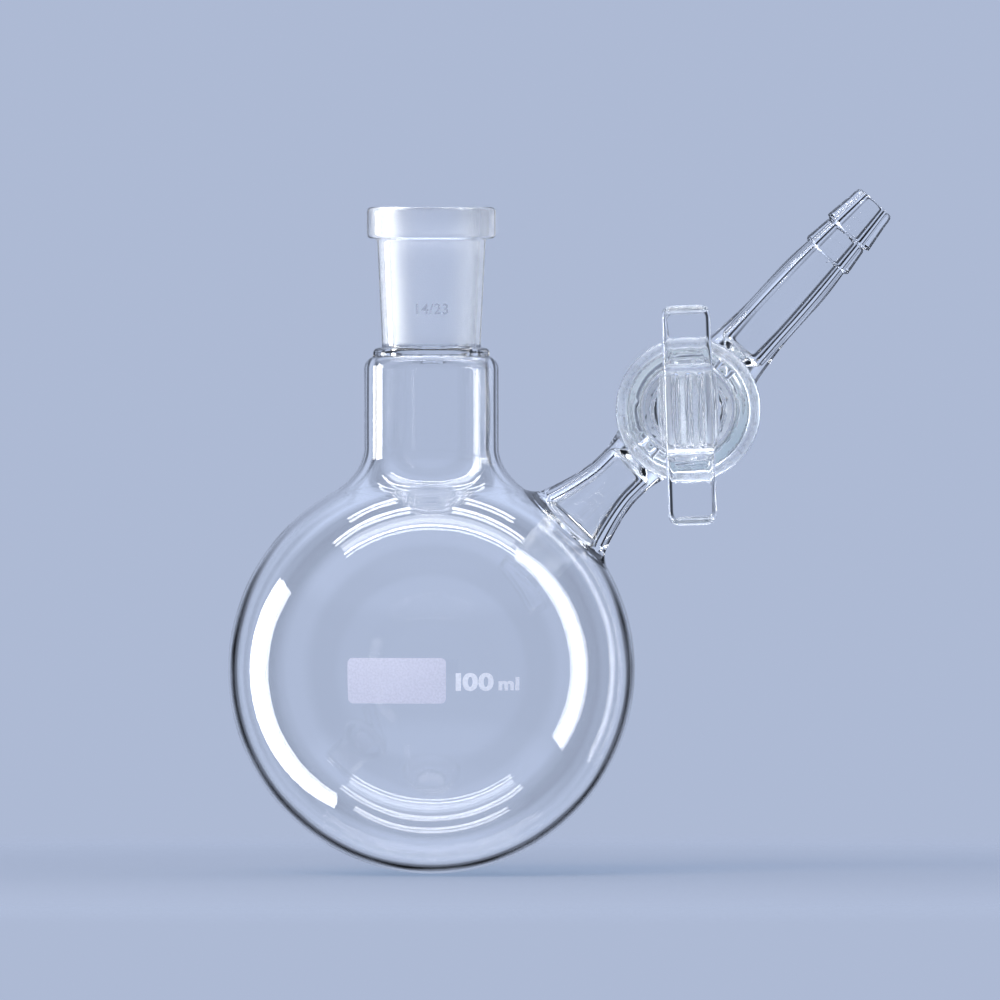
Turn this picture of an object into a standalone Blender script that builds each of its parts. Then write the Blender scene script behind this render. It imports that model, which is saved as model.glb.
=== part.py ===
"""Round-bottom glass flask with a ground socket and a side arm that carries a stopcock and a hose nozzle.

+Z runs up the neck, +X towards the side arm and -Y towards the stopcock handle. The origin is on the neck
axis, halfway up the straight neck, where a laboratory clamp grips. The glass that a glassblower fuses into
one piece is modelled as the tubes it is built up from, with a narrow joint between neighbours.
"""

import math

import bmesh
import bpy
from mathutils import Matrix, Vector

# Driving dimensions, in metres and degrees.
JOINT_GAP = 0.0003
WALL = 0.0014

BULB_RADIUS = 0.032
BULB_CENTRE_Z = -0.041
ARM_HOLE_RADIUS = 0.0048

NECK_RADIUS = 0.0106
NECK_BASE_Z = -0.0050
FLARE_TOP_Z = -0.0056
SHOULDER_Z = 0.00645
SHOULDER_FILLET = 0.00185
RING_RADIUS = 0.0092
RING_BEAD = 0.0009
NECK_TOP_Z = 0.0097

SOCKET_BORE_RADIUS = 0.00725
SOCKET_TAPER = 0.05
SOCKET_TOP_Z = 0.0318
SOCKET_BASE_Z = 0.0100
SOCKET_BASE_RADIUS = 0.0078
SOCKET_TOP_RADIUS = 0.0086
RIM_RADIUS = 0.0102
RIM_BASE_Z = 0.0268

STOPCOCK_X = 0.04025
ARM_ANGLE = 44.7
NOZZLE_ANGLE = 47.7
SIDE_BORE = 0.0016
TUBE_BORE = 0.0028
PASSAGE_END = 0.0112

BARREL_FRONT_Y = -0.018
BARREL_REAR_Y = 0.017
BARREL_MOUTH_RADIUS = 0.0074
BARREL_TAPER = 0.05
BARREL_FRONT_RADIUS = 0.0096
BARREL_REAR_RADIUS = 0.0080
COLLAR_RADIUS = 0.0114
COLLAR_BEAD = 0.0013

KEY_CLEARANCE = 0.00008
KEY_BORE = 0.00125
KEY_FRONT_Y = -0.0186
KEY_FACE_Y = -0.0192
KEY_REAR_Y = 0.0225
KEY_NECK_RADIUS = 0.00575
KEY_TILT = 2.0
GROOVE_FRONT_Y = 0.0188
GROOVE_REAR_Y = 0.0208
GROOVE_RADIUS = 0.0046

HANDLE_TOP = 0.0165
HANDLE_BOTTOM = 0.0179
HANDLE_THICKNESS = 0.0077
HANDLE_EDGE = 0.00085
HANDLE_FRONT_Y = -0.0365
HANDLE_REAR_Y = -0.0262
HUB_WIDTH = 0.0090
HUB_HEIGHT = 0.0115
HUB_REAR_Y = -0.0235
HUB_EDGE = 0.0006
FLUTE_PITCH = 0.0019
FLUTE_WIDTH = 0.00044
FLUTE_DEPTH = 0.0004

WASHER_RADIUS = 0.0078
RUNNING_GAP = 0.0001

NOZZLE_LENGTH = 0.0440
NOZZLE_SPLIT = 0.0250
NOZZLE_RADIUS = 0.00435
TIP_BORE = 0.0020
TIP_START = 0.0370
# Start along the nozzle, length, wide radius and narrow radius of each barb.
BARBS = ((0.0325, 0.0046, 0.0044, 0.0038), (0.0374, 0.0059, 0.00435, 0.0035))

PATCH_WIDTH = 0.0157
PATCH_HEIGHT = 0.0071
PATCH_CENTRE_X = -0.0055
PATCH_DROP = 0.0012
PATCH_THICKNESS = 0.00015

ROUND = 40
SMALL_ROUND = 28
BORE_ROUND = 16


def glass(name, roughness):
    """Borosilicate glass; a ground surface is the same glass with a high roughness."""
    made = material(name + "_glass", (0.93, 0.96, 0.97), roughness)
    shader = made.node_tree.nodes["Principled BSDF"]
    shader.inputs["Transmission Weight"].default_value = 1.0
    shader.inputs["IOR"].default_value = 1.473
    return made


def material(name, colour, roughness):
    made = bpy.data.materials.new(name)
    made.use_nodes = True
    shader = made.node_tree.nodes["Principled BSDF"]
    shader.inputs["Base Color"].default_value = (*colour, 1.0)
    shader.inputs["Roughness"].default_value = roughness
    return made


def clear_scene():
    for obj in list(bpy.data.objects):
        bpy.data.objects.remove(obj, do_unlink=True)


def add_empty(name, place):
    empty = bpy.data.objects.new(name, None)
    empty.matrix_world = place
    bpy.context.scene.collection.objects.link(empty)
    return empty


def add_object(name, shape, place, looks, parent):
    """Makes an object of a bmesh at a place given in world space; without looks it is a cutter."""
    bmesh.ops.recalc_face_normals(shape, faces=shape.faces)
    mesh = bpy.data.meshes.new(name)
    shape.to_mesh(mesh)
    shape.free()
    mesh.shade_smooth()
    mesh.set_sharp_from_angle(angle=math.radians(35))
    obj = bpy.data.objects.new(name, mesh)
    bpy.context.scene.collection.objects.link(obj)
    if parent:
        obj.parent = parent
        obj.matrix_basis = parent.matrix_world.inverted() @ place
    else:
        obj.matrix_basis = place
    if looks:
        mesh.materials.append(looks)
    else:
        obj.hide_render = True
        obj.display_type = "WIRE"
    return obj


def arc(centre, radius, start, end, steps):
    """Points (r, z) of an arc; the angles are in degrees from the +r direction towards +z."""
    points = []
    for step in range(steps + 1):
        angle = math.radians(start + (end - start) * step / steps)
        points.append((centre[0] + radius * math.cos(angle), centre[1] + radius * math.sin(angle)))
    return points


def corner(centre, radius, start, steps=5):
    return arc(centre, radius, start, start + 90.0, steps)


def turned(name, profile, place, looks=None, parent=None, around=ROUND):
    """Spins a closed profile of (r, z) points about local Z."""
    shape = bmesh.new()
    verts = [shape.verts.new((r, 0.0, z)) for r, z in profile]
    edges = []
    for first, second in zip(verts, verts[1:] + verts[:1]):
        if first.co.x > 0.0 or second.co.x > 0.0:
            edges.append(shape.edges.new((first, second)))
    line = {"geom": verts + edges, "axis": (0, 0, 1), "cent": (0, 0, 0)}
    bmesh.ops.spin(shape, **line, steps=around, angle=2.0 * math.pi, use_merge=True)
    bmesh.ops.remove_doubles(shape, verts=shape.verts, dist=1e-6)
    return add_object(name, shape, place, looks, parent)


def solid_rod(name, stations, place, around=ROUND):
    """A cutter through (r, z) stations, closed on the axis at both ends."""
    profile = [(0.0, stations[0][1]), *stations, (0.0, stations[-1][1])]
    return turned(name, profile, place, around=around)


def pressed(name, outline, half, edge, place, looks=None, parent=None):
    """Extrudes a closed (y, z) outline to x = -half and x = half and rounds its long edges."""
    shape = bmesh.new()
    face = shape.faces.new([shape.verts.new((-half, y, z)) for y, z in outline])
    grown = bmesh.ops.extrude_face_region(shape, geom=[face])["geom"]
    far = [item for item in grown if isinstance(item, bmesh.types.BMVert)]
    bmesh.ops.translate(shape, vec=(2.0 * half, 0.0, 0.0), verts=far)
    rims = [item for item in shape.edges if abs(item.verts[0].co.x - item.verts[1].co.x) < half]
    bmesh.ops.bevel(shape, geom=rims, offset=edge, segments=3, profile=0.5, affect="EDGES")
    return add_object(name, shape, place, looks, parent)


def box_cutter(name, low, high, place):
    shape = bmesh.new()
    bmesh.ops.create_cube(shape, size=1.0)
    bmesh.ops.scale(shape, vec=Vector(high) - Vector(low), verts=shape.verts)
    bmesh.ops.translate(shape, vec=(Vector(high) + Vector(low)) / 2.0, verts=shape.verts)
    return add_object(name, shape, place, None, None)


def pointing(origin, direction):
    """A place at origin whose local Z runs along direction."""
    turn = Vector(direction).to_track_quat("Z", "Y").to_matrix().to_4x4()
    return Matrix.Translation(Vector(origin)) @ turn


def boolean(target, tool, operation="DIFFERENCE"):
    step = target.modifiers.new(tool.name, "BOOLEAN")
    step.operation = operation
    step.solver = "EXACT"
    step.object = tool


def make_bulb(flask, arm_place):
    """The blown sphere and the flare that leads into the neck, with a hole for the side arm."""
    height = FLARE_TOP_Z - BULB_CENTRE_Z
    flare = (height**2 + NECK_RADIUS**2 - BULB_RADIUS**2) / (2.0 * (BULB_RADIUS - NECK_RADIUS))
    flare_centre = (NECK_RADIUS + flare, FLARE_TOP_Z)
    tangent = math.degrees(math.atan2(height, flare_centre[0]))
    top = NECK_BASE_Z - JOINT_GAP
    centre = (0.0, BULB_CENTRE_Z)
    profile = [(NECK_RADIUS, top)]
    profile += arc(flare_centre, flare, 180.0, 180.0 + tangent, 4)
    profile += arc(centre, BULB_RADIUS, tangent, -90.0, 18)[1:-1]
    profile += [(0.0, BULB_CENTRE_Z - BULB_RADIUS), (0.0, BULB_CENTRE_Z - BULB_RADIUS + WALL)]
    profile += arc(centre, BULB_RADIUS - WALL, -90.0, tangent, 16)[1:]
    profile += arc(flare_centre, flare + WALL, 180.0 + tangent, 180.0, 4)[1:]
    profile += [(NECK_RADIUS - WALL, top)]
    bulb = turned("bulb", profile, Matrix(), glass("bulb", 0.02), flask)
    hole = solid_rod("arm_hole", [(ARM_HOLE_RADIUS, 0.020), (ARM_HOLE_RADIUS, 0.030)], arm_place, SMALL_ROUND)
    boolean(bulb, hole)


def make_neck(flask):
    """A wide tube with a rounded shoulder and the fused ring under the socket."""
    inside = NECK_RADIUS - WALL
    bore = SOCKET_BORE_RADIUS - SOCKET_TAPER * (SOCKET_TOP_Z - NECK_TOP_Z)
    profile = [(NECK_RADIUS, NECK_BASE_Z)]
    profile += arc((NECK_RADIUS - SHOULDER_FILLET, SHOULDER_Z), SHOULDER_FILLET, 0.0, 80.0, 5)
    profile += arc((RING_RADIUS - RING_BEAD, NECK_TOP_Z - RING_BEAD), RING_BEAD, -35.0, 75.0, 5)
    profile += [(SOCKET_BASE_RADIUS, NECK_TOP_Z), (bore, NECK_TOP_Z)]
    profile += arc((bore + 0.0008, 0.0088), 0.0008, 180.0, 255.0, 3)
    profile += arc((inside - 0.0015, 0.0063), 0.0015, 90.0, 0.0, 4)
    profile += [(inside, NECK_BASE_Z)]
    turned("neck", profile, Matrix(), glass("neck", 0.02), flask)


def make_socket(flask):
    """The conical socket: 14.5 mm at its wide end, a 1:10 taper, and a reinforced rim."""
    bore = SOCKET_BORE_RADIUS - SOCKET_TAPER * (SOCKET_TOP_Z - SOCKET_BASE_Z)
    lead_in = 0.0004
    profile = [(bore, SOCKET_BASE_Z), (SOCKET_BASE_RADIUS, SOCKET_BASE_Z), (SOCKET_TOP_RADIUS, RIM_BASE_Z)]
    profile += arc((RIM_RADIUS - 0.0007, RIM_BASE_Z + 0.0010), 0.0007, -60.0, 0.0, 3)
    profile += corner((RIM_RADIUS - 0.0009, SOCKET_TOP_Z - 0.0009), 0.0009, 0.0, 4)
    profile += [(SOCKET_BORE_RADIUS + lead_in, SOCKET_TOP_Z), (SOCKET_BORE_RADIUS, SOCKET_TOP_Z - lead_in)]
    turned("ground_socket", profile, Matrix(), glass("ground_socket", 0.35), flask)


def barrel_radius(y):
    share = (y - BARREL_FRONT_Y) / (BARREL_REAR_Y - BARREL_FRONT_Y)
    return BARREL_FRONT_RADIUS + (BARREL_REAR_RADIUS - BARREL_FRONT_RADIUS) * share


def make_barrel(flask, place, arm_place, nozzle_place):
    """The stopcock's tapered sleeve; its local Z runs from the handle end to the narrow end."""
    narrow = BARREL_MOUTH_RADIUS - BARREL_TAPER * (BARREL_REAR_Y - BARREL_FRONT_Y)
    lead_in = 0.0005
    collar_end = BARREL_FRONT_Y + 0.0042
    profile = [(BARREL_MOUTH_RADIUS, BARREL_FRONT_Y + lead_in)]
    profile += [(BARREL_MOUTH_RADIUS + lead_in, BARREL_FRONT_Y)]
    profile += arc((COLLAR_RADIUS - COLLAR_BEAD, BARREL_FRONT_Y + COLLAR_BEAD), COLLAR_BEAD, -90.0, 60.0, 5)
    profile += [(BARREL_FRONT_RADIUS + 0.0004, collar_end - 0.0012), (barrel_radius(collar_end), collar_end)]
    profile += arc((BARREL_REAR_RADIUS - 0.0008, BARREL_REAR_Y - 0.0008), 0.0008, 5.0, 90.0, 3)
    profile += [(narrow, BARREL_REAR_Y)]
    barrel = turned("stopcock_barrel", profile, place, glass("stopcock_barrel", 0.35), flask)
    for name, side in (("arm_port", arm_place), ("nozzle_port", nozzle_place)):
        boolean(barrel, solid_rod(name, [(SIDE_BORE, 0.003), (SIDE_BORE, 0.012)], side, BORE_ROUND))


def make_side_arm(flask, arm_place, barrel_clearance):
    """Wide where it meets the bulb, drawn narrow, and flared again where it meets the barrel."""
    root = 0.0060
    end = 0.0290
    outside = [(0.0062, root), (0.0057, 0.0088), (0.0050, 0.0108), (0.00465, 0.0135), (0.00460, 0.0165)]
    outside += [(0.0050, 0.0192), (0.0060, 0.0226), (0.0071, 0.0255), (0.0086, end)]
    inside = [(ARM_HOLE_RADIUS, end), (ARM_HOLE_RADIUS, 0.0252), (0.0033, 0.0190), (TUBE_BORE, 0.0150)]
    inside += [(0.0024, 0.0124), (SIDE_BORE, PASSAGE_END), (SIDE_BORE, root)]
    arm = turned("side_arm", outside + inside, arm_place, glass("side_arm", 0.02), flask, SMALL_ROUND)
    ball = arc((0.0, BULB_CENTRE_Z), BULB_RADIUS + JOINT_GAP, -87.0, 87.0, 20)
    boolean(arm, solid_rod("bulb_clearance", ball, Matrix()))
    boolean(arm, barrel_clearance)


def make_nozzle_tube(flask, nozzle_place, barrel_clearance):
    """The barrel's outlet tube."""
    root = 0.0060
    end = NOZZLE_SPLIT - JOINT_GAP
    outside = [(0.0060, root), (0.0056, 0.0090), (0.0050, 0.0112), (0.00462, 0.0140), (0.00445, 0.0180)]
    inside = [(TUBE_BORE, end), (TUBE_BORE, 0.0140), (0.0024, 0.0121), (SIDE_BORE, PASSAGE_END), (SIDE_BORE, root)]
    profile = outside + [(NOZZLE_RADIUS, end)] + inside
    tube = turned("nozzle_tube", profile, nozzle_place, glass("nozzle_tube", 0.02), flask, SMALL_ROUND)
    boolean(tube, barrel_clearance)


def make_hose_nozzle(flask, nozzle_place):
    """Two barbs and a fire-polished tip with a flat end face."""
    tip = NOZZLE_LENGTH
    profile = [(TIP_BORE, tip), (TUBE_BORE, TIP_START), (TUBE_BORE, NOZZLE_SPLIT), (NOZZLE_RADIUS, NOZZLE_SPLIT)]
    profile += [(0.0041, tip - 0.0150), (0.0039, tip - 0.0120)]
    for start, barb_length, wide, narrow in BARBS:
        profile += [(wide - 0.0002, start - 0.0001), (wide, start + 0.0001), (narrow, start + barb_length)]
    profile += arc((0.0029, tip - 0.0006), 0.0006, 15.0, 90.0, 3)
    turned("hose_nozzle", profile, nozzle_place, glass("hose_nozzle", 0.02), flask, SMALL_ROUND)


def make_writing_patch(flask):
    """The fired enamel writing field, wrapped on the front of the bulb."""
    shape = bmesh.new()
    bmesh.ops.create_grid(shape, x_segments=10, y_segments=6, size=0.5)
    for vert in shape.verts:
        across, up = vert.co.x, vert.co.y
        inset = 0.97 if abs(across * up) > 0.249 else 1.0
        turn = (across * inset * PATCH_WIDTH + PATCH_CENTRE_X) / BULB_RADIUS
        rise = (up * inset * PATCH_HEIGHT - PATCH_DROP) / BULB_RADIUS
        level = math.cos(rise)
        on_sphere = Vector((math.sin(turn) * level, -math.cos(turn) * level, math.sin(rise)))
        vert.co = on_sphere * (BULB_RADIUS + 0.00005)
    place = Matrix.Translation((0.0, 0.0, BULB_CENTRE_Z))
    looks = material("white_enamel", (0.86, 0.84, 0.90), 0.55)
    patch = add_object("writing_patch", shape, place, looks, flask)
    fired = patch.modifiers.new("fired_thickness", "SOLIDIFY")
    fired.thickness = PATCH_THICKNESS
    fired.offset = 1.0


def cone_radius(y):
    return BARREL_MOUTH_RADIUS - BARREL_TAPER * (y - BARREL_FRONT_Y) - KEY_CLEARANCE


def make_key_plug(key, place, tilted):
    """The ground cone, with a cross bore in line with the handle and a groove for the retainer."""
    edge = KEY_FRONT_Y - KEY_FACE_Y
    profile = [(0.0, KEY_FACE_Y), (KEY_NECK_RADIUS, KEY_FACE_Y)]
    profile += arc((cone_radius(KEY_FRONT_Y) - edge, KEY_FRONT_Y), edge, -90.0, 0.0, 3)
    profile += [(cone_radius(GROOVE_FRONT_Y - 0.0002), GROOVE_FRONT_Y - 0.0002)]
    profile += [(GROOVE_RADIUS, GROOVE_FRONT_Y), (GROOVE_RADIUS, GROOVE_REAR_Y)]
    profile += [(cone_radius(GROOVE_REAR_Y + 0.0002), GROOVE_REAR_Y + 0.0002)]
    profile += corner((cone_radius(KEY_REAR_Y) - 0.0008, KEY_REAR_Y - 0.0008), 0.0008, 0.0, 3)
    profile += [(0.0, KEY_REAR_Y)]
    plug = turned("key_plug", profile, place, glass("key_plug", 0.35), key)
    boolean(plug, solid_rod("key_bore", [(KEY_BORE, -0.010), (KEY_BORE, 0.010)], tilted, BORE_ROUND))


def make_key_neck(key, place):
    """The clear round stem between the cone and the handle's hub."""
    start = KEY_FACE_Y - JOINT_GAP
    stop = HUB_REAR_Y + JOINT_GAP
    waist = (KEY_NECK_RADIUS - 0.0004, (start + stop) / 2.0)
    profile = [(0.0, stop), (KEY_NECK_RADIUS, stop), waist, (KEY_NECK_RADIUS, start), (0.0, start)]
    turned("key_neck", profile, place, glass("key_neck", 0.02), key, SMALL_ROUND)


def make_key_handle(key, tilted):
    """The pressed T-handle: a flat wing, a wider hub behind it and three flutes in its front."""
    front, rear = HANDLE_FRONT_Y, HANDLE_REAR_Y
    half_hub = HUB_HEIGHT / 2.0
    web = 0.0030
    web_z = half_hub + web + 0.0009
    wing = corner((rear - 0.0022, HANDLE_TOP - 0.0022), 0.0022, 0.0)
    wing += corner((front + 0.0016, HANDLE_TOP - 0.0016), 0.0016, 90.0)
    wing += corner((front + 0.0028, 0.0028 - HANDLE_BOTTOM), 0.0028, 180.0)
    wing += corner((rear - 0.0024, 0.0024 - HANDLE_BOTTOM), 0.0024, 270.0)
    wing += arc((rear + web, -web_z), web, 180.0, 110.0, 5)
    wing += arc((rear + web, web_z), web, 250.0, 180.0, 5)
    looks = glass("key_handle", 0.02)
    handle = pressed("key_handle", wing, HANDLE_THICKNESS / 2.0, HANDLE_EDGE, tilted, looks, key)
    turn = 0.0009
    hub_front = rear - 0.0030
    hub = corner((HUB_REAR_Y - turn, half_hub - turn), turn, 0.0, 3)
    hub += corner((hub_front + turn, half_hub - turn), turn, 90.0, 3)
    hub += corner((hub_front + turn, turn - half_hub), turn, 180.0, 3)
    hub += corner((HUB_REAR_Y - turn, turn - half_hub), turn, 270.0, 3)
    boolean(handle, pressed("hub_former", hub, HUB_WIDTH / 2.0, HUB_EDGE, tilted), "UNION")
    for number in (-1, 0, 1):
        x = number * FLUTE_PITCH
        low = (x - FLUTE_WIDTH / 2.0, front - 0.001, -half_hub)
        high = (x + FLUTE_WIDTH / 2.0, front + FLUTE_DEPTH, half_hub)
        boolean(handle, box_cutter("flute_" + str(number + 2), low, high, tilted))


def make_retainer(key, place):
    """A washer against the barrel's narrow end, and the elastic ring that sits in the key's groove."""
    inner = cone_radius(BARREL_REAR_Y) + 0.0003
    start = BARREL_REAR_Y + RUNNING_GAP
    stop = start + 0.0008
    washer = [(inner, start), (WASHER_RADIUS, start), (WASHER_RADIUS, stop), (inner, stop)]
    washer_looks = material("retainer_washer_plastic", (0.90, 0.90, 0.88), 0.35)
    turned("retainer_washer", washer, place, washer_looks, key)
    inner = GROOVE_RADIUS + RUNNING_GAP
    start, stop = GROOVE_FRONT_Y + RUNNING_GAP, GROOVE_REAR_Y - RUNNING_GAP
    bead = (stop - start) / 2.0
    ring = [(inner, start), (inner, stop)]
    ring += arc((0.0062, (start + stop) / 2.0), bead, 80.0, -80.0, 4)
    ring_looks = material("retainer_ring_rubber", (0.10, 0.10, 0.11), 0.60)
    turned("retainer_ring", ring, place, ring_looks, key, SMALL_ROUND)


def build():
    clear_scene()
    centre = Vector((STOPCOCK_X, 0.0, 0.0))
    flask = add_empty("flask", Matrix())
    key = add_empty("stopcock_key", Matrix.Translation(centre))

    along_y = pointing(centre, (0.0, 1.0, 0.0))
    tilted = Matrix.Translation(centre) @ Matrix.Rotation(math.radians(-KEY_TILT), 4, "Y")
    arm = math.radians(ARM_ANGLE)
    arm_place = pointing(centre, (-math.cos(arm), 0.0, -math.sin(arm)))
    nozzle = math.radians(NOZZLE_ANGLE)
    nozzle_place = pointing(centre, (math.cos(nozzle), 0.0, math.sin(nozzle)))

    sleeve = [(barrel_radius(y) + JOINT_GAP, y) for y in (BARREL_FRONT_Y - 0.004, BARREL_REAR_Y + 0.004)]
    barrel_clearance = solid_rod("barrel_clearance", sleeve, along_y)

    make_bulb(flask, arm_place)
    make_neck(flask)
    make_socket(flask)
    make_side_arm(flask, arm_place, barrel_clearance)
    make_barrel(flask, along_y, arm_place, nozzle_place)
    make_nozzle_tube(flask, nozzle_place, barrel_clearance)
    make_hose_nozzle(flask, nozzle_place)
    make_writing_patch(flask)
    make_key_plug(key, along_y, tilted)
    make_key_neck(key, along_y)
    make_key_handle(key, tilted)
    make_retainer(key, along_y)


build()
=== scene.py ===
"""Looks of the round-bottom flask with a ground socket and a stopcock side arm.

The flask's body is one piece of fused glass, and so is the stopcock key. Each is described here by a
distance function, negative inside the glass, which is meshed; then every vertex is moved onto the
surface. Lengths are in metres, in the frame of the CAD model: +Z up the neck, +X to the side arm, -Y to
the handle.
"""

import math

import bmesh
import bpy
import numpy as np
import openvdb
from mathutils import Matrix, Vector


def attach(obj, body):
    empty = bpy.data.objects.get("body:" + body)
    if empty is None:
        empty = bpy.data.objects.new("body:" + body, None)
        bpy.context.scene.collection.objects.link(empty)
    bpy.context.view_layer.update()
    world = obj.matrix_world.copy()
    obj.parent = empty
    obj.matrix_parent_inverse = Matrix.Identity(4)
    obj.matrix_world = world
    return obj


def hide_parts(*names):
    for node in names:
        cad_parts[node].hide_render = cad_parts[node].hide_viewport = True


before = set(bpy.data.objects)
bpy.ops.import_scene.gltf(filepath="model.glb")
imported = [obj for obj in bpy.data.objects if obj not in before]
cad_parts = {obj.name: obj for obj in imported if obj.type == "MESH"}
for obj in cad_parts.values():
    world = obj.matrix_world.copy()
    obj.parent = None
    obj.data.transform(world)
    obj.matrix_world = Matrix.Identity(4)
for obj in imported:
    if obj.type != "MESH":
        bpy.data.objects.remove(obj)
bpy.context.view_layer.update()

# The bulb, the neck and the socket.
WALL = 0.0014
BULB_RADIUS = 0.032
BULB_CENTRE_Z = -0.041
NECK_RADIUS = 0.0106
SHOULDER_TOP_Z = 0.0083
SHOULDER_FILLET = 0.00185
RING_RADIUS = 0.0092
RING_BEAD = 0.0009
NECK_TOP_Z = 0.0097
NECK_CEILING_Z = 0.0078

SOCKET_BORE_RADIUS = 0.00725
SOCKET_TAPER = 0.05
SOCKET_TOP_Z = 0.0318
SOCKET_BASE_Z = 0.0100
SOCKET_BASE_RADIUS = 0.0078
SOCKET_TOP_RADIUS = 0.0086
RIM_RADIUS = 0.0102
RIM_BASE_Z = 0.0268

# The side arm, the stopcock's barrel and the nozzle. Stations along the arm and the nozzle start at the
# stopcock's axis.
STOPCOCK_X = 0.04025
ARM_RADIUS = 0.0046
NOZZLE_TUBE_RADIUS = 0.00435
ARM_ANGLE = math.radians(44.7)
NOZZLE_ANGLE = math.radians(47.7)
SIDE_BORE = 0.0016
TUBE_BORE = 0.0028
TIP_BORE = 0.0020
TIP_START = 0.0370
PASSAGE_END = 0.0112
NOZZLE_LENGTH = 0.0440
# Start along the nozzle, length, wide radius and narrow radius of each barb.
BARBS = ((0.0325, 0.0046, 0.0044, 0.0038), (0.0374, 0.0059, 0.00435, 0.0035))

BARREL_FRONT_Y = -0.018
BARREL_REAR_Y = 0.017
BARREL_MOUTH_RADIUS = 0.0074
BARREL_TAPER = 0.05
BARREL_FRONT_RADIUS = 0.0096
BARREL_REAR_RADIUS = 0.0080
COLLAR_RADIUS = 0.0114
COLLAR_BEAD = 0.0013

# The stopcock key.
KEY_CLEARANCE = 0.00008
KEY_BORE = 0.00125
KEY_FACE_Y = -0.0192
KEY_REAR_Y = 0.0225
KEY_NECK_RADIUS = 0.00575
KEY_TILT = math.radians(2.0)
GROOVE_Y = 0.0198
GROOVE_HALF = 0.0010
GROOVE_RADIUS = 0.0046
HANDLE_TOP = 0.0165
HANDLE_BOTTOM = 0.0179
HANDLE_THICKNESS = 0.0077
HANDLE_EDGE = 0.0018
HANDLE_FRONT_Y = -0.0365
HANDLE_REAR_Y = -0.0262
HUB_WIDTH = 0.0090
HUB_HEIGHT = 0.0115
HUB_REAR_Y = -0.0235
FLUTE_PITCH = 0.0019
FLUTE_RADIUS = 0.00042

# The prints, the washer and the ring.
PATCH_WIDTH = 0.0157
PATCH_HEIGHT = 0.0071
PATCH_CENTRE_X = -0.0055
PATCH_DROP = 0.0012
PATCH_THICKNESS = 0.00012
PRINT_LIFT = 0.00003
WASHER_RADIUS = 0.0078
WASHER_HOLE_RADIUS = 0.00595
WASHER_Y = 0.0175
RING_MIDDLE_RADIUS = 0.0059
RING_SECTION_RADIUS = 0.00098

# Fillets where the flame has fused two tubes, and edges that stayed sharp.
FUSED_FILLET = 0.0014
SHARP_EDGE = 0.0002

# The meshing: the grids' cells, a shift off the grid in cells, and what counts as lying on a ground cone.
CELL = 0.00038
KEY_CELL = 0.00025
SMALL_CELL = 0.0002
OFF_GRID = 0.37
NEAR = 0.0001


def join(first, second, fillet=0.0):
    """Distance to two solids together, with a round fillet of that radius in the corner between them."""
    if not fillet:
        return np.minimum(first, second)
    outside = np.maximum(fillet, np.minimum(first, second))
    return outside - np.hypot(np.maximum(fillet - first, 0.0), np.maximum(fillet - second, 0.0))


def overlap(first, second, edge=0.0):
    """Distance to what two solids share, with the edge between them rounded to that radius."""
    return -join(-first, -second, edge)


def rounded_box(across, up, half_across, half_up, corner):
    """Distance to a rectangle with round corners, in a plane."""
    x = np.abs(across) - half_across + corner
    y = np.abs(up) - half_up + corner
    return np.hypot(np.maximum(x, 0.0), np.maximum(y, 0.0)) + np.minimum(np.maximum(x, y), 0.0) - corner


def cone(radius, along, start, start_radius, slope):
    """Distance to an endless cone whose radius changes by slope for each metre along."""
    return (radius - start_radius - slope * (along - start)) / math.hypot(1.0, slope)


def flared(radius, along, waist, low, low_gain, high, high_gain):
    """Distance to a tube that widens smoothly below the station low and above the station high."""
    below = np.maximum(low - along, 0.0)
    above = np.maximum(along - high, 0.0)
    size = waist + low_gain * below**1.5 + high_gain * above**1.5
    slope = 1.5 * (high_gain * np.sqrt(above) - low_gain * np.sqrt(below))
    return (radius - size) / np.hypot(1.0, slope)


def beside_stopcock(x, y, z, angle, side):
    """Distance from, and distance along, the axis of the arm (side -1) or the nozzle (side 1)."""
    across, up = x - STOPCOCK_X, z
    reach_x, reach_z = side * math.cos(angle), side * math.sin(angle)
    along = across * reach_x + up * reach_z
    return np.hypot(across * reach_z - up * reach_x, y), along


def barrel_cone(x, y, z, clearance=0.0):
    """Distance to the ground cone in the stopcock's barrel."""
    radius = np.hypot(x - STOPCOCK_X, z)
    return cone(radius, y, BARREL_FRONT_Y, BARREL_MOUTH_RADIUS - clearance, -BARREL_TAPER)


def socket_cone(x, y, z):
    """Distance to the ground cone in the socket."""
    return cone(np.hypot(x, y), z, SOCKET_TOP_Z, SOCKET_BORE_RADIUS, SOCKET_TAPER)


def body_outside(x, y, z):
    """The bulb, neck, ring and socket, as if they were filled."""
    radius = np.hypot(x, y)
    ball = np.hypot(radius, z - BULB_CENTRE_Z) - BULB_RADIUS
    neck = overlap(radius - NECK_RADIUS, z - SHOULDER_TOP_Z, SHOULDER_FILLET)
    neck = overlap(neck, BULB_CENTRE_Z - z)
    ring = np.hypot(radius - RING_RADIUS + RING_BEAD, z - NECK_TOP_Z + RING_BEAD) - RING_BEAD
    slope = (SOCKET_TOP_RADIUS - SOCKET_BASE_RADIUS) / (RIM_BASE_Z - SOCKET_BASE_Z)
    tube = cone(radius, z, SOCKET_BASE_Z, SOCKET_BASE_RADIUS, slope)
    rim_middle = (SOCKET_TOP_Z + RIM_BASE_Z) / 2.0
    tube = overlap(tube, np.abs(z - SOCKET_BASE_Z) - (rim_middle - SOCKET_BASE_Z))
    rim = rounded_box(radius, z - rim_middle, RIM_RADIUS, (SOCKET_TOP_Z - RIM_BASE_Z) / 2.0, 0.0008)
    solid = join(ball, neck, 0.0046)
    solid = join(solid, ring, SHARP_EDGE)
    solid = join(solid, tube, 0.0004)
    return join(solid, rim, 0.0006)


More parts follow.
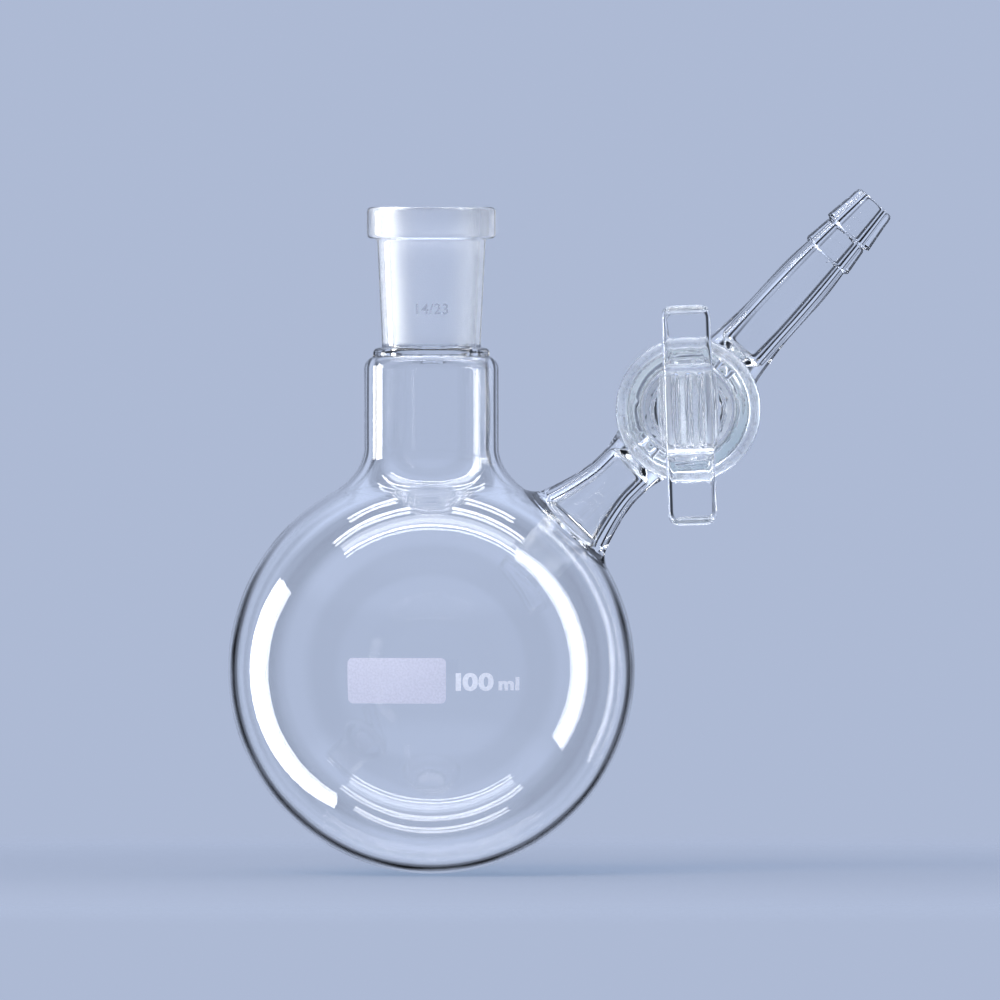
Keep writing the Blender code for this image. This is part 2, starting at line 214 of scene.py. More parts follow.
def barrel_outside(x, y, z):
    """The stopcock's barrel with the collar at its mouth, as if it were filled."""
    radius = np.hypot(x - STOPCOCK_X, z)
    length = BARREL_REAR_Y - BARREL_FRONT_Y
    slope = (BARREL_REAR_RADIUS - BARREL_FRONT_RADIUS) / length
    side = cone(radius, y, BARREL_FRONT_Y, BARREL_FRONT_RADIUS, slope)
    side = overlap(side, y - BARREL_REAR_Y, 0.0008)
    side = overlap(side, BARREL_FRONT_Y + COLLAR_BEAD - y)
    collar = rounded_box(radius, y - BARREL_FRONT_Y - COLLAR_BEAD, COLLAR_RADIUS, COLLAR_BEAD, COLLAR_BEAD)
    return join(side, collar, 0.0009)


def nozzle_outside(x, y, z):
    """The outlet tube, its two barbs and its tip, as if they were filled."""
    radius, along = beside_stopcock(x, y, z, NOZZLE_ANGLE, 1.0)
    tube = flared(
        radius, along, NOZZLE_TUBE_RADIUS, low=0.0190, low_gain=1.11, high=0.0260, high_gain=-1.04
    )
    solid = overlap(tube, np.abs(along - 0.0195) - 0.0135)
    core = overlap(radius - 0.0035, along - NOZZLE_LENGTH, 0.0006)
    solid = join(solid, overlap(core, 0.0310 - along), SHARP_EDGE)
    for start, length, wide, narrow in BARBS:
        barb = cone(radius, along, start, wide, (narrow - wide) / length)
        barb = overlap(barb, np.abs(along - start - length / 2.0) - length / 2.0, 0.00025)
        solid = join(solid, barb, SHARP_EDGE)
    return solid


def flask_hollow(x, y, z):
    """Everything that the flask's glass encloses: the bulb, the socket, the barrel's cone and the bores."""
    radius = np.hypot(x, y)
    ball = np.hypot(radius, z - BULB_CENTRE_Z) - BULB_RADIUS + WALL
    neck = overlap(radius - NECK_RADIUS + WALL, z - NECK_CEILING_Z, 0.0015)
    neck = overlap(neck, BULB_CENTRE_Z - z)
    space = join(ball, neck, 0.0055)
    space = join(space, overlap(socket_cone(x, y, z), 0.004 - z), 0.0007)

    arm_radius, arm_along = beside_stopcock(x, y, z, ARM_ANGLE, -1.0)
    arm = flared(arm_radius, arm_along, TUBE_BORE, low=0.0, low_gain=0.0, high=0.0160, high_gain=2.10)
    arm = overlap(overlap(arm, PASSAGE_END - arm_along, 0.0019), arm_along - 0.0280)
    space = join(space, arm, 0.0012)

    tip_radius, tip_along = beside_stopcock(x, y, z, NOZZLE_ANGLE, 1.0)
    narrowing = (TIP_BORE - TUBE_BORE) / (NOZZLE_LENGTH - TIP_START)
    outlet = cone(tip_radius, tip_along, TIP_START, TUBE_BORE, narrowing)
    outlet = overlap(outlet, tip_radius - TUBE_BORE, 0.0020)
    outlet = overlap(outlet, PASSAGE_END - tip_along, 0.0019)

    for radius, along, wide in ((arm_radius, arm_along, arm), (tip_radius, tip_along, outlet)):
        past_ends = np.abs(along - PASSAGE_END / 2.0) - PASSAGE_END / 2.0 - 0.0010
        passage = overlap(radius - SIDE_BORE, past_ends)
        space = join(space, join(wide, passage, 0.0008), SHARP_EDGE)
    return join(space, barrel_cone(x, y, z), SHARP_EDGE)


def flask_glass(x, y, z):
    """The flask's body."""
    arm_radius, arm_along = beside_stopcock(x, y, z, ARM_ANGLE, -1.0)
    arm = flared(arm_radius, arm_along, ARM_RADIUS, low=0.0140, low_gain=2.93, high=0.0160, high_gain=2.70)
    arm = overlap(arm, np.abs(arm_along - 0.0165) - 0.0115)
    solid = join(body_outside(x, y, z), arm, FUSED_FILLET)
    fittings = join(barrel_outside(x, y, z), nozzle_outside(x, y, z), FUSED_FILLET)
    solid = join(solid, fittings, FUSED_FILLET)
    return overlap(solid, -flask_hollow(x, y, z), 0.0004)


def key_glass(x, y, z):
    """The stopcock key: the ground cone with its cross bore and groove, the stem and the flat handle."""
    across, up = x - STOPCOCK_X, z
    radius = np.hypot(across, up)
    plug_ends = np.abs(y - (KEY_FACE_Y + KEY_REAR_Y) / 2.0) - (KEY_REAR_Y - KEY_FACE_Y) / 2.0
    solid = overlap(barrel_cone(x, y, z, KEY_CLEARANCE), plug_ends, 0.0006)
    groove = overlap(GROOVE_RADIUS - radius, np.abs(y - GROOVE_Y) - GROOVE_HALF, SHARP_EDGE)
    solid = overlap(solid, -groove, SHARP_EDGE)

    stem_middle = (KEY_FACE_Y + HUB_REAR_Y) / 2.0
    stem_half = (KEY_FACE_Y - HUB_REAR_Y) / 2.0 + 0.0006
    stem = flared(radius, y, KEY_NECK_RADIUS - 0.0004, stem_middle, 4.0, stem_middle, 4.0)
    stem = overlap(stem, np.abs(y - stem_middle) - stem_half)

    side = math.cos(KEY_TILT) * across + math.sin(KEY_TILT) * up
    rise = math.cos(KEY_TILT) * up - math.sin(KEY_TILT) * across
    middle_y = (HANDLE_FRONT_Y + HANDLE_REAR_Y) / 2.0
    half_y = (HANDLE_REAR_Y - HANDLE_FRONT_Y) / 2.0
    middle_z = (HANDLE_TOP - HANDLE_BOTTOM) / 2.0
    half_z = (HANDLE_TOP + HANDLE_BOTTOM) / 2.0
    wing = rounded_box(y - middle_y, rise - middle_z, half_y, half_z, 0.0022)
    hub_middle = (HANDLE_REAR_Y - 0.003 + HUB_REAR_Y) / 2.0
    hub_half = (HUB_REAR_Y - HANDLE_REAR_Y + 0.003) / 2.0
    hub = rounded_box(y - hub_middle, rise, hub_half, HUB_HEIGHT / 2.0, 0.0009)
    wing = overlap(join(wing, hub, 0.0026), np.abs(side) - HANDLE_THICKNESS / 2.0, HANDLE_EDGE)
    hub = overlap(hub, np.abs(side) - HUB_WIDTH / 2.0, 0.0006)
    handle = join(wing, hub, 0.0003)
    solid = join(solid, join(handle, stem, 0.0003), 0.0003)

    for number in (-1, 0, 1):
        flute = np.hypot(side - number * FLUTE_PITCH, y - HANDLE_FRONT_Y) - FLUTE_RADIUS
        flute = overlap(flute, np.abs(rise) - HUB_HEIGHT / 2.0, 0.0003)
        solid = overlap(solid, -flute, 0.0001)
    bore = np.hypot(side, y) - KEY_BORE
    return overlap(solid, -bore, SHARP_EDGE)


def slope_of(distance, points, step=0.00002):
    """The direction in which a distance function grows at each point, as unit vectors."""
    rise = np.empty_like(points)
    for axis in range(3):
        ahead, behind = points.copy(), points.copy()
        ahead[:, axis] += step
        behind[:, axis] -= step
        rise[:, axis] = (distance(*ahead.T) - distance(*behind.T)) / (2.0 * step)
    return rise / np.maximum(np.linalg.norm(rise, axis=1, keepdims=True), 1e-9)


def sampled(distance, low, high, cell, block=8):
    """A grid of distances, worked out finely only in the blocks of cells that the surface passes near."""
    blocks = np.ceil((high - low) / (cell * block)).astype(int)
    corners = np.moveaxis(np.indices(blocks), 0, -1).reshape(-1, 3)
    middles = low + cell * (block * corners + (block - 1) / 2.0)
    coarse = distance(*middles.T)
    field = coarse.reshape(blocks)
    for axis in range(3):
        field = np.repeat(field, block, axis)
    near = corners[np.abs(coarse) < cell * block * 1.3]
    steps = np.moveaxis(np.indices((block, block, block)), 0, -1).reshape(-1, 3)
    cells = (near[:, None, :] * block + steps).reshape(-1, 3)
    field[tuple(cells.T)] = distance(*(low + cell * cells).T)
    return field.astype(np.float32)


def onto_surface(distance, points):
    """Moves points along the slope of a distance function until they lie on its surface."""
    for _ in range(2):
        points = points - slope_of(distance, points) * distance(*points.T)[:, None]
    return points


def meshed(name, distance, low, high, cell, kept, ground=None):
    """Meshes a distance function's surface, thins it to the share kept and gives it the function's normals.

    The grid is shifted a little so that no flat face lies exactly on its points. The ground function says
    how far each point is ground, from 0 to 1. Ground parts are not thinned, so that their edges stay even,
    and their share is stored on the mesh for the material to read.
    """
    low, high = np.array(low) - OFF_GRID * cell, np.array(high)
    band = 3.0 * cell
    grid = openvdb.FloatGrid(band)
    grid.copyFromArray(np.clip(sampled(distance, low, high, cell), -band, band))
    points, _, quads = grid.convertToPolygons(0.0, 0.0)
    points = onto_surface(distance, low + points.astype(float) * cell)
    mesh = bpy.data.meshes.new(name)
    mesh.from_pydata(points.tolist(), [], quads.tolist())
    piece = bpy.data.objects.new(name, mesh)
    bpy.context.scene.collection.objects.link(piece)
    thinning = piece.modifiers.new("thinned", "DECIMATE")
    thinning.ratio = kept
    if ground:
        group = piece.vertex_groups.new(name="ground")
        group.add(np.flatnonzero(ground(*points.T) > 0.0).tolist(), 1.0, "REPLACE")
        thinning.vertex_group = group.name
        thinning.invert_vertex_group = True
    thinned = bpy.data.meshes.new_from_object(piece.evaluated_get(bpy.context.evaluated_depsgraph_get()))
    piece.modifiers.clear()
    piece.data = thinned
    thinned.name = name
    bpy.data.meshes.remove(mesh)
    points = np.empty(len(thinned.vertices) * 3)
    thinned.vertices.foreach_get("co", points)
    points = onto_surface(distance, points.reshape(-1, 3))
    thinned.vertices.foreach_set("co", points.ravel())
    thinned.shade_smooth()
    thinned.normals_split_custom_set_from_vertices(slope_of(distance, points).tolist())
    if ground:
        piece.vertex_groups.clear()
        layer = thinned.attributes.new("ground", "FLOAT", "POINT")
        layer.data.foreach_set("value", ground(*points.T).astype(np.float32))
    return piece


def smooth_share(values, start, end):
    """0 before start and 1 after end, with a smooth ramp between them."""
    share = np.clip((values - start) / (end - start), 0.0, 1.0)
    return share * share * (3.0 - 2.0 * share)


def band_share(values, low, high, soft):
    """1 between low and high and 0 elsewhere, with soft ends."""
    rising = smooth_share(values, low - soft, low + soft)
    return rising * (1.0 - smooth_share(values, high - soft, high + soft))


class Nodes:
    """Adds shader nodes to one material or world and links them by name."""

    def __init__(self, owner):
        owner.use_nodes = True
        self.tree = owner.node_tree
        self.tree.nodes.clear()

    def add(self, kind, settings=None, **inputs):
        """A node of a kind, with its settings and inputs.

        An input is named, with _ for a space, or numbered as i0, i1 and so on. It is set to a value or
        linked to another node's output.
        """
        node = self.tree.nodes.new(kind)
        for name, value in (settings or {}).items():
            setattr(node, name, value)
        for name, value in inputs.items():
            slot = node.inputs[int(name[1:]) if name[1:].isdigit() else name.replace("_", " ")]
            if isinstance(value, bpy.types.NodeSocket):
                self.tree.links.new(value, slot)
            else:
                slot.default_value = value
        return node

    def arithmetic(self, operation, first, second=0.0):
        """What a Math node makes of one or two values."""
        return self.add("ShaderNodeMath", {"operation": operation}, i0=first, i1=second).outputs[0]

    def ramp(self, value, low, high, start=0.0, end=1.0, smooth=False):
        """A value that runs from low to high, changed to run from start to end."""
        kind = "SMOOTHSTEP" if smooth else "LINEAR"
        node = self.add(
            "ShaderNodeMapRange",
            {"interpolation_type": kind},
            Value=value,
            From_Min=low,
            From_Max=high,
            To_Min=start,
            To_Max=end,
        )
        return node.outputs[0]

    def noise(self, scale, detail=2.0):
        """A noise pattern that is fixed to the object."""
        place = self.add("ShaderNodeTexCoord").outputs["Object"]
        return self.add("ShaderNodeTexNoise", None, Vector=place, Scale=scale, Detail=detail).outputs["Fac"]

    def blend(self, share, first, second):
        """A mix of two colours."""
        node = self.add("ShaderNodeMix", {"data_type": "RGBA"}, i0=share)
        for number, value in ((6, first), (7, second)):
            if isinstance(value, bpy.types.NodeSocket):
                self.tree.links.new(value, node.inputs[number])
            else:
                node.inputs[number].default_value = value
        return node.outputs[2]

    def bump(self, height, distance, under=None):
        """A normal that follows a pattern of heights, on top of another normal if there is one."""
        inputs = {"Height": height, "Distance": distance, "Strength": 1.0}
        if under:
            inputs["Normal"] = under
        return self.add("ShaderNodeBump", None, **inputs).outputs[0]

    def finish(self, surface):
        """Makes a surface what the material shows."""
        self.add("ShaderNodeOutputMaterial", None, Surface=surface)


def glass_material(name):
    """Clear borosilicate glass; where the mesh's ground share is 1 it is ground to a fine matt white.

    Shadow rays and diffuse rays pass straight through it, so that the floor gets a soft shadow.
    """
    made = bpy.data.materials.new(name)
    nodes = Nodes(made)
    ground = nodes.add("ShaderNodeAttribute", {"attribute_name": "ground"}).outputs["Fac"]
    grain = nodes.noise(5200.0, 3.0)
    wipe = nodes.noise(160.0, 4.0)
    clear_roughness = nodes.ramp(wipe, 0.55, 0.8, 0.0, 0.012)
    ground_roughness = nodes.ramp(grain, 0.3, 0.7, 0.34, 0.48)
    roughness = nodes.ramp(ground, 0.0, 1.0, clear_roughness, ground_roughness)
    draw = nodes.bump(nodes.noise(70.0, 1.0), 0.00006)
    matt = nodes.bump(nodes.arithmetic("MULTIPLY", grain, ground), 0.00004, draw)
    shade = nodes.blend(nodes.noise(60.0, 2.0), (0.984, 0.988, 0.992, 1.0), (0.997, 0.998, 1.0, 1.0))
    colour = nodes.blend(ground, shade, (0.975, 0.98, 1.0, 1.0))
    glass = nodes.add(
        "ShaderNodeBsdfPrincipled",
        None,
        Base_Color=colour,
        Roughness=roughness,
        Transmission_Weight=1.0,
        IOR=1.473,
        Normal=matt,
    )
    surface = glass.outputs[0]
    straight = nodes.add("ShaderNodeBsdfTransparent", None, Color=(0.90, 0.93, 0.95, 1.0)).outputs[0]
    path = nodes.add("ShaderNodeLightPath")
    for kind in ("Is Shadow Ray", "Is Diffuse Ray"):
        mixed = nodes.add("ShaderNodeMixShader", None, i0=path.outputs[kind], i1=surface, i2=straight)
        surface = mixed.outputs[0]
    nodes.finish(surface)
    return made


def flask_ground(x, y, z):
    """How far the flask is ground: the socket's cone fully, the barrel's cone a little less."""
    socket = band_share(np.abs(socket_cone(x, y, z)), -1.0, NEAR, NEAR / 4)
    socket *= band_share(z, SOCKET_BASE_Z + 0.0002, SOCKET_TOP_Z - 0.0006, 0.0003)
    barrel = band_share(np.abs(barrel_cone(x, y, z)), -1.0, NEAR, NEAR / 4)
    barrel *= band_share(y, BARREL_FRONT_Y + 0.0006, BARREL_REAR_Y - 0.0004, 0.0003)
    return np.maximum(socket, 0.8 * barrel)


def key_ground(x, y, z):
    """How far the key is ground: its rear end and cross bore fully, its cone and the fluted panel less."""
    plug = band_share(np.abs(barrel_cone(x, y, z, KEY_CLEARANCE)), -1.0, NEAR, NEAR / 4)
    plug *= band_share(y, KEY_FACE_Y + 0.0008, GROOVE_Y - GROOVE_HALF - 0.0008, 0.0003)
    end = smooth_share(y, KEY_REAR_Y - 0.0008, KEY_REAR_Y - 0.0004)
    drilled = band_share(np.hypot(x - STOPCOCK_X, y), -1.0, KEY_BORE + 0.0004, 0.0002)
    panel = 1.0 - smooth_share(y, HANDLE_FRONT_Y + 0.0001, HANDLE_FRONT_Y + 0.0002)
    panel *= 1.0 - smooth_share(np.abs(z), HUB_HEIGHT / 2.0 - 0.0002, HUB_HEIGHT / 2.0 + 0.0002)
    return np.maximum(np.maximum(0.8 * plug, 0.55 * panel), np.maximum(end, drilled))


def make_flask():
    """The fused body in clear glass, with the socket and the barrel ground inside."""
    low, high = (-0.034, -0.034, -0.075), (0.074, 0.034, 0.036)
    piece = meshed("flask_glass", flask_glass, low, high, CELL, kept=0.27, ground=flask_ground)
    piece.data.materials.append(glass_material("borosilicate_glass"))
    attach(piece, "flask")
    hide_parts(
        "bulb", "neck", "ground_socket", "side_arm", "stopcock_barrel", "nozzle_tube", "hose_nozzle"
    )


def make_key():
    """The stopcock key in pressed glass."""
    low, high = (0.0285, -0.0385, -0.0205), (0.052, 0.0245, 0.019)
    piece = meshed("key_glass", key_glass, low, high, KEY_CELL, kept=0.6, ground=key_ground)
    piece.data.materials.append(glass_material("pressed_glass"))
    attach(piece, "key")
    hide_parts("key_plug", "key_neck", "key_handle")


def enamel_material(name, colour, cover):
    """Fired enamel print: chalky, a little uneven, and thin enough to let some light through."""
    made = bpy.data.materials.new(name)
    nodes = Nodes(made)
    speckle = nodes.noise(3000.0, 3.0)
    cloud = nodes.noise(260.0, 2.0)
    tone = nodes.blend(cloud, colour, tuple(0.93 * part for part in colour[:3]) + (1.0,))
    grains = nodes.ramp(speckle, 0.35, 0.65, cover - 0.06, cover + 0.06)
    chalk = nodes.add(
        "ShaderNodeBsdfPrincipled",
        None,
        Base_Color=tone,
        Roughness=nodes.ramp(speckle, 0.3, 0.7, 0.45, 0.65),
        Alpha=grains,
        Normal=nodes.bump(speckle, 0.00002),
    )
    nodes.finish(chalk.outputs[0])
    return made


def wrapped(name, shape, looks, middle, step, on_glass):
    """Cuts a flat shape into tiles of the size step, lays it on the glass and gives it to the flask."""
    for axis in range(2):
        reach = max(abs(vert.co[axis]) for vert in shape.verts)
        normal = Vector((1.0 - axis, axis, 0.0))
        for place in np.arange(step - reach, reach, step):
            parts = shape.verts[:] + shape.edges[:] + shape.faces[:]
            bmesh.ops.bisect_plane(shape, geom=parts, dist=1e-7, plane_co=normal * place, plane_no=normal)
    for vert in shape.verts:
        vert.co = on_glass(vert.co.x + middle[0], vert.co.y + middle[1], vert.co.z)
    bmesh.ops.recalc_face_normals(shape, faces=shape.faces)
    mesh = bpy.data.meshes.new(name)
    shape.to_mesh(mesh)
    shape.free()
    mesh.materials.append(looks)
    piece = bpy.data.objects.new(name, mesh)
    bpy.context.scene.collection.objects.link(piece)
    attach(piece, "flask")
    return piece


def on_bulb(across, up, lift):
    """The point on the front of the bulb at those lengths along its surface from its middle."""
    turn, rise = across / BULB_RADIUS, up / BULB_RADIUS
    way = Vector((math.sin(turn) * math.cos(rise), -math.cos(turn) * math.cos(rise), math.sin(rise)))
    return way * (BULB_RADIUS + lift) + Vector((0.0, 0.0, BULB_CENTRE_Z))


def on_socket(across, up, lift):
    """The point on the front of the socket at that length round it and that height."""
    slope = (SOCKET_TOP_RADIUS - SOCKET_BASE_RADIUS) / (RIM_BASE_Z - SOCKET_BASE_Z)
    radius = SOCKET_BASE_RADIUS + slope * (up - SOCKET_BASE_Z)
    return Vector((0.0, 0.0, up)) + (radius + lift) * Vector(
        (math.sin(across / radius), -math.cos(across / radius), 0.0)
    )


def lettering(words, size, boldness, depth, stretch=1.0, closer=0.0):
    """Plain words as a flat solid shape, centred on their baseline, in the built-in typeface.

    Closer draws the second letter towards the first.
    """
    data = bpy.data.curves.new("words", "FONT")
    data.body = words
    data.size = size
    data.offset = boldness
    data.extrude = depth / 2.0
    data.align_x, data.align_y = "CENTER", "BOTTOM_BASELINE"
    data.space_character = 1.08
    data.body_format[0].kerning = -closer
    holder = bpy.data.objects.new("words", data)
    mesh = bpy.data.meshes.new_from_object(holder)
    shape = bmesh.new()
    shape.from_mesh(mesh)
    bmesh.ops.remove_doubles(shape, verts=shape.verts, dist=1e-7)
    bmesh.ops.scale(shape, vec=(stretch, 1.0, 1.0), verts=shape.verts)
    bmesh.ops.translate(shape, vec=(0.0, 0.0, depth / 2.0 + PRINT_LIFT), verts=shape.verts)
    bpy.data.objects.remove(holder)
    bpy.data.curves.remove(data)
    bpy.data.meshes.remove(mesh)
    return shape


def make_prints():
    """The writing field, the capacity and the size of the joint."""
    shape = bmesh.new()
    corner = 0.0008
    outline = []
    for quarter, (side, level) in enumerate(((1, 1), (-1, 1), (-1, -1), (1, -1))):
        centre = (side * (PATCH_WIDTH / 2.0 - corner), level * (PATCH_HEIGHT / 2.0 - corner))
        for part in range(7):
            angle = math.radians(90.0 * quarter + 15.0 * part)
            outline.append((centre[0] + corner * math.cos(angle), centre[1] + corner * math.sin(angle)))
    face = shape.faces.new([shape.verts.new((across, up, PRINT_LIFT)) for across, up in outline])
    grown = bmesh.ops.extrude_face_region(shape, geom=[face])["geom"]
    top = [item for item in grown if isinstance(item, bmesh.types.BMVert)]
    bmesh.ops.translate(shape, vec=(0.0, 0.0, PATCH_THICKNESS), verts=top)
    looks = enamel_material("writing_enamel", (0.84, 0.82, 0.90, 1.0), 0.62)
    field = wrapped("writing_field", shape, looks, (PATCH_CENTRE_X, -PATCH_DROP), 0.0008, on_bulb)
    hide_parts("writing_patch")
    looks = enamel_material("print_enamel", (0.93, 0.93, 0.97, 1.0), 0.95)
    words = lettering("100", 0.0036, boldness=0.00015, depth=0.0001, stretch=1.30, closer=11.0)
    wrapped("capacity_mark", words, looks, (0.0065, -0.0026), 0.0006, on_bulb)
    words = lettering("ml", 0.0027, boldness=0.00012, depth=0.0001, stretch=1.30)
    wrapped("millilitre_mark", words, looks, (0.0125, -0.0026), 0.0006, on_bulb)
    words = lettering("14/23", 0.0023, boldness=0.00002, depth=0.00006)
    looks = enamel_material("faint_print", (0.42, 0.44, 0.50, 1.0), 0.34)
    wrapped("joint_size_mark", words, looks, (0.0, 0.0150), 0.0004, on_socket)


def moulded_material(name, colour, scale, roughness):
    """Moulded plastic or rubber, with a fine grain and slight changes of tone."""
    made = bpy.data.materials.new(name)
    nodes = Nodes(made)
    grain = nodes.noise(scale, 3.0)
    darker = tuple(0.88 * part for part in colour[:3]) + (1.0,)
    tone = nodes.blend(nodes.noise(scale / 12.0), colour, darker)
    plastic = nodes.add(
        "ShaderNodeBsdfPrincipled",
        None,
        Base_Color=tone,
        Roughness=nodes.ramp(grain, 0.3, 0.7, roughness - 0.07, roughness + 0.07),
        Normal=nodes.bump(grain, 0.00003),
    )
    nodes.finish(plastic.outputs[0])
    return made


def washer(x, y, z):
    """A flat washer with a shallow step turned in its rear face."""
    radius = np.hypot(x - STOPCOCK_X, z)
    width = WASHER_RADIUS - WASHER_HOLE_RADIUS
    middle = (WASHER_RADIUS + WASHER_HOLE_RADIUS) / 2.0
    plate = rounded_box(radius - middle, y - WASHER_Y, width / 2.0, 0.0004, 0.00015)
    step = rounded_box(radius - middle, y - WASHER_Y - 0.0004, width / 5.0, 0.00012, 0.00008)
    return overlap(plate, -step, 0.00005)


def elastic_ring(x, y, z):
    """A moulded ring of slightly flattened section, with a parting line round its outside."""
    radius = np.hypot(x - STOPCOCK_X, z) - RING_MIDDLE_RADIUS
    wide, flat = 1.25, 0.9
    body = (np.hypot(radius / wide, (y - GROOVE_Y) / flat) - RING_SECTION_RADIUS) * flat
    seam = rounded_box(radius - 0.00122, y - GROOVE_Y, 0.00006, 0.00006, 0.00005)
    return join(body, seam, 0.00005)


def make_retainer():
    """The washer and the ring that hold the key in the barrel."""
    low, high = (0.0315, 0.0165, -0.009), (0.049, 0.0185, 0.009)
    piece = meshed("retainer_washer_turned", washer, low, high, SMALL_CELL, kept=0.4)
    piece.data.materials.append(moulded_material("washer_plastic", (0.84, 0.85, 0.83, 1.0), 2400.0, 0.36))
    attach(piece, "key")
    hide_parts("retainer_washer")
    low, high = (0.0325, 0.0185, -0.008), (0.048, 0.0211, 0.008)
    piece = meshed("retainer_ring_moulded", elastic_ring, low, high, SMALL_CELL, kept=0.5)
    piece.data.materials.append(moulded_material("ring_rubber", (0.035, 0.035, 0.038, 1.0), 1600.0, 0.55))
    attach(piece, "key")
    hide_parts("retainer_ring")


make_flask()
make_key()
make_prints()
make_retainer()


# The studio: a plain pale floor that fades into a plain surround of the same tone. A tall softbox on the
# left, three tubes and a panel overhead show only in reflections and through the glass. The fill light
# lights only what isn't glass.
PALE = (0.42, 0.49, 0.66)
FILL_ON_FLOOR = 0.40
CAMERA_TARGET = (0.01079, 0.0, -0.01427)
CAMERA_ELEVATION = math.radians(0.5)
FRAME_WIDTH = 0.15723
# Rings of light and dark round the line through the flask from front to back, which show only in
# reflections and through the glass: degrees from straight behind the flask, half width, and brightness.
# The outline ring darkens the edge of the bulb, and is left out above the flask.
RINGS = ((45.0, 13.0, 1.25), (67.5, 10.0, 0.01), (92.0, 9.0, 1.15), (112.5, 8.0, 0.6))
OUTLINE_RING = (24.0, 3.5, 0.02)


def add_camera():
    """A long lens almost level with the flask, as in the photograph."""
    data = bpy.data.cameras.new("camera")
    data.sensor_width = 36.0
    data.lens = 900.0
    data.clip_end = 20.0
    camera = bpy.data.objects.new("camera", data)
    bpy.context.scene.collection.objects.link(camera)
    back = Vector((0.0, -math.cos(CAMERA_ELEVATION), math.sin(CAMERA_ELEVATION)))
    camera.location = Vector(CAMERA_TARGET) + back * (FRAME_WIDTH / data.sensor_width * data.lens)
    camera.rotation_euler = (-back).to_track_quat("-Z", "Y").to_euler()
    bpy.context.scene.camera = camera


def add_softbox(name, place, size, radiance, facing=None, seen_in_glass=True):
    """An area light at a place measured from the bulb's middle, which it faces unless told otherwise."""
    data = bpy.data.lights.new(name, "AREA")
    data.shape = "RECTANGLE"
    data.size, data.size_y = size
    data.energy = radiance * math.pi * size[0] * size[1]
    light = bpy.data.objects.new(name, data)
    bpy.context.scene.collection.objects.link(light)
    middle = Vector((0.0, 0.0, BULB_CENTRE_Z))
    light.location = middle + Vector(place)
    light.rotation_euler = Vector(facing or [-part for part in place]).to_track_quat("-Z", "Y").to_euler()
    light.visible_camera = False
    light.visible_glossy = seen_in_glass
    light.visible_transmission = seen_in_glass
    light.visible_diffuse = not seen_in_glass


def add_floor():
    """A round floor whose albedo, under the fill light, gives the surround's tone, and which fades out."""
    shape = bmesh.new()
    bmesh.ops.create_circle(shape, cap_ends=True, segments=96, radius=0.6)
    mesh = bpy.data.meshes.new("floor")
    shape.to_mesh(mesh)
    shape.free()
    floor = bpy.data.objects.new("floor", mesh)
    floor.location = (0.0, 0.0, BULB_CENTRE_Z - BULB_RADIUS - 0.0002)
    bpy.context.scene.collection.objects.link(floor)
    floor.visible_glossy = False
    floor.visible_transmission = False
    made = bpy.data.materials.new("pale_floor")
    nodes = Nodes(made)
    place = nodes.add("ShaderNodeTexCoord").outputs["Object"]
    reach = nodes.add("ShaderNodeVectorMath", {"operation": "LENGTH"}, i0=place).outputs["Value"]
    fade = nodes.ramp(reach, 0.05, 0.32, smooth=True)
    albedo = [part / (part + FILL_ON_FLOOR) for part in PALE]
    colour = nodes.blend(nodes.noise(40.0), (*(0.99 * part for part in albedo), 1.0), (*albedo, 1.0))
    paint = nodes.add("ShaderNodeBsdfDiffuse", None, Color=colour)
    clear = nodes.add("ShaderNodeBsdfTransparent")
    mixed = nodes.add("ShaderNodeMixShader", None, i0=fade, i1=paint.outputs[0], i2=clear.outputs[0])
    nodes.finish(mixed.outputs[0])
    mesh.materials.append(made)


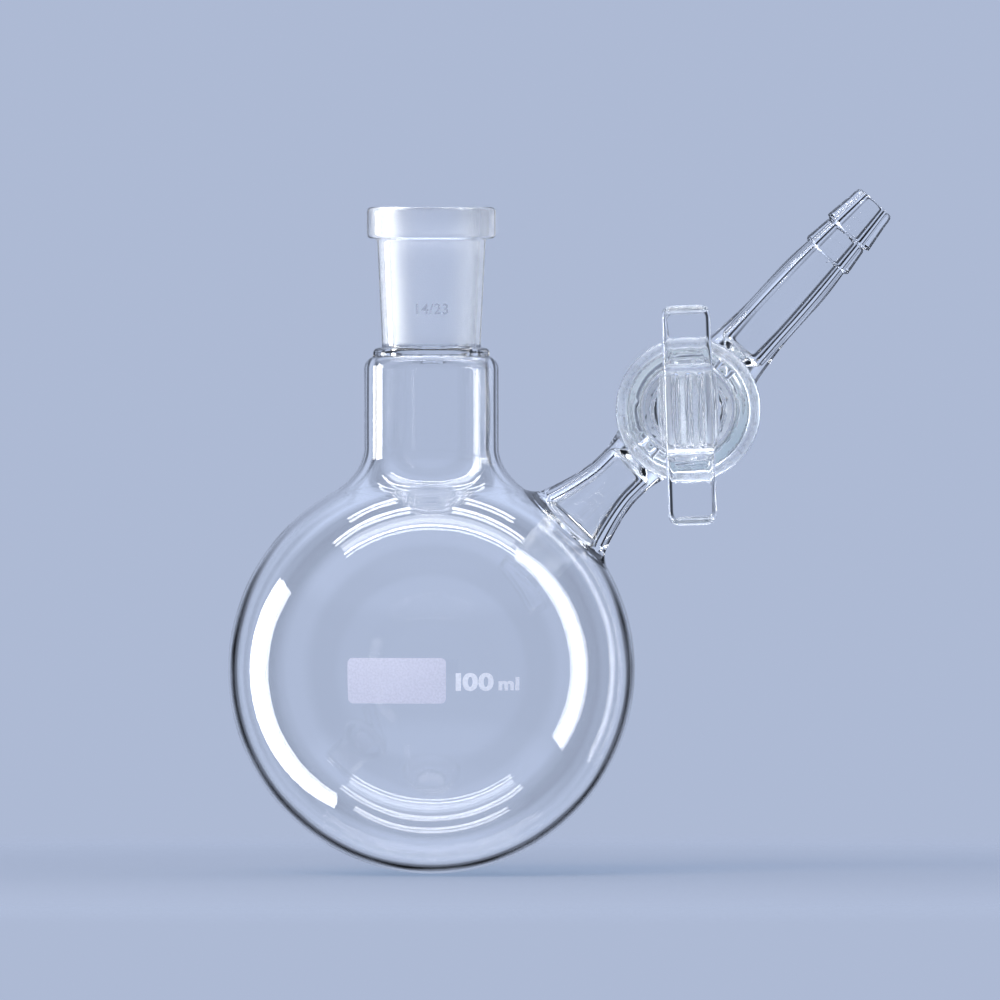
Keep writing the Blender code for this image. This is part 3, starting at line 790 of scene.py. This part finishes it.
def add_surround():
    """A plain pale surround, in which the glass sees rings of light and dark and a light ceiling."""
    world = bpy.data.worlds.new("studio")
    bpy.context.scene.world = world
    nodes = Nodes(world)
    way = nodes.add("ShaderNodeTexCoord").outputs["Generated"]
    split = nodes.add("ShaderNodeSeparateXYZ", None, Vector=way).outputs
    aside = nodes.arithmetic("ARCCOSINE", split["Y"])

    def ring(middle, half, level):
        apart = nodes.arithmetic("ABSOLUTE", nodes.arithmetic("SUBTRACT", aside, math.radians(middle)))
        return nodes.ramp(apart, math.radians(half), math.radians(half + 5.0), level, 1.0, smooth=True)

    height = nodes.arithmetic("ARCSINE", split["Z"])
    ceiling = nodes.ramp(height, math.radians(26), math.radians(40), 1.0, 1.8, smooth=True)
    outline = nodes.ramp(height, math.radians(6), math.radians(18), ring(*OUTLINE_RING), 1.0)
    rings = 1.0
    for sizes in RINGS:
        rings = nodes.arithmetic("MULTIPLY", rings, ring(*sizes))
    rings = nodes.ramp(height, math.radians(-62), math.radians(-50), 1.0, rings)
    studio = nodes.arithmetic("MULTIPLY", nodes.arithmetic("MULTIPLY", ceiling, outline), rings)
    path = nodes.add("ShaderNodeLightPath").outputs
    plain = nodes.arithmetic("MAXIMUM", path["Is Camera Ray"], path["Is Diffuse Ray"])
    strength = nodes.ramp(plain, 0.0, 1.0, studio, 1.0)
    sky = nodes.add("ShaderNodeBackground", None, Color=(*PALE, 1.0), Strength=strength)
    nodes.add("ShaderNodeOutputWorld", None, Surface=sky.outputs[0])


add_camera()
add_floor()
add_surround()
add_softbox("strip_softbox", (-0.158, 0.052, -0.0645), (0.046, 0.31), 11.0, facing=(0.95, -0.31, 0.0))
add_softbox("rear_tube", (0.0, 0.155, 0.58), (0.90, 0.026), 15.0)
add_softbox("top_tube", (0.0, -0.010, 0.60), (0.90, 0.016), 18.0)
add_softbox("back_tube", (0.0, 0.27, 0.54), (0.60, 0.028), 9.0)
add_softbox("top_panel", (0.0, 0.050, 0.60), (0.88, 0.070), 3.5)
add_softbox("front_fill", (-0.55, -1.30, 1.05), (1.20, 1.20), 4.5, seen_in_glass=False)
bpy.context.scene.view_settings.view_transform = "Standard"
